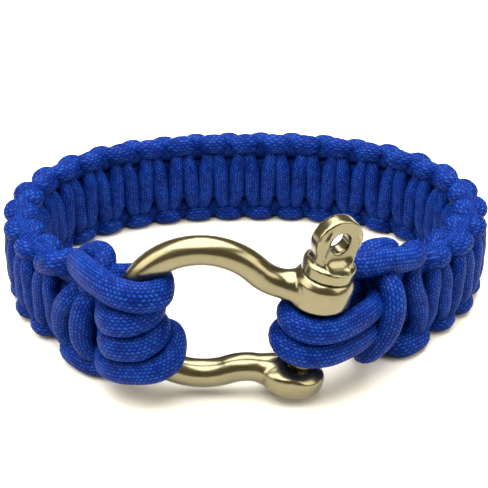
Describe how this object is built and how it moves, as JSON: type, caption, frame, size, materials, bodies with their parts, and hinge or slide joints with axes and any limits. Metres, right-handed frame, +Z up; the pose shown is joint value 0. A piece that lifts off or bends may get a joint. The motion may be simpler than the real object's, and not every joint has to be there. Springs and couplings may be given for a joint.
{
  "type": "paracord bracelet",
  "caption": "Blue woven paracord bracelet closed by a steel bow shackle with a screw pin, lying on its edge.",
  "frame": {"origin": "centre of the bracelet's box, on the surface that it lies on", "axes": "+Z up from the surface, along the wrist; +X along the bracelet's length, from the bow's round end towards the pin; -Y to the front, where the shackle is"},
  "size_m": [0.094, 0.0733, 0.0357],
  "materials": {
    "cord": "woven nylon",
    "steel": "satin"
  },
  "bodies": {
    "bracelet": {"band": "cord", "bow_cord_1": "cord", "bow_cord_2": "cord", "bow_cord_3": "cord", "bow_cord_4": "cord", "pin_cord_1": "cord", "pin_cord_2": "cord", "shackle_bow": "steel"},
    "pin": {"shackle_pin": "steel"}
  },
  "joints": [
    {"name": "pin_out", "type": "slide", "parent": "bracelet", "child": "pin", "axis": [0.2215, 0, 0.9751], "range_m": [0, 0.027]}
  ]
}
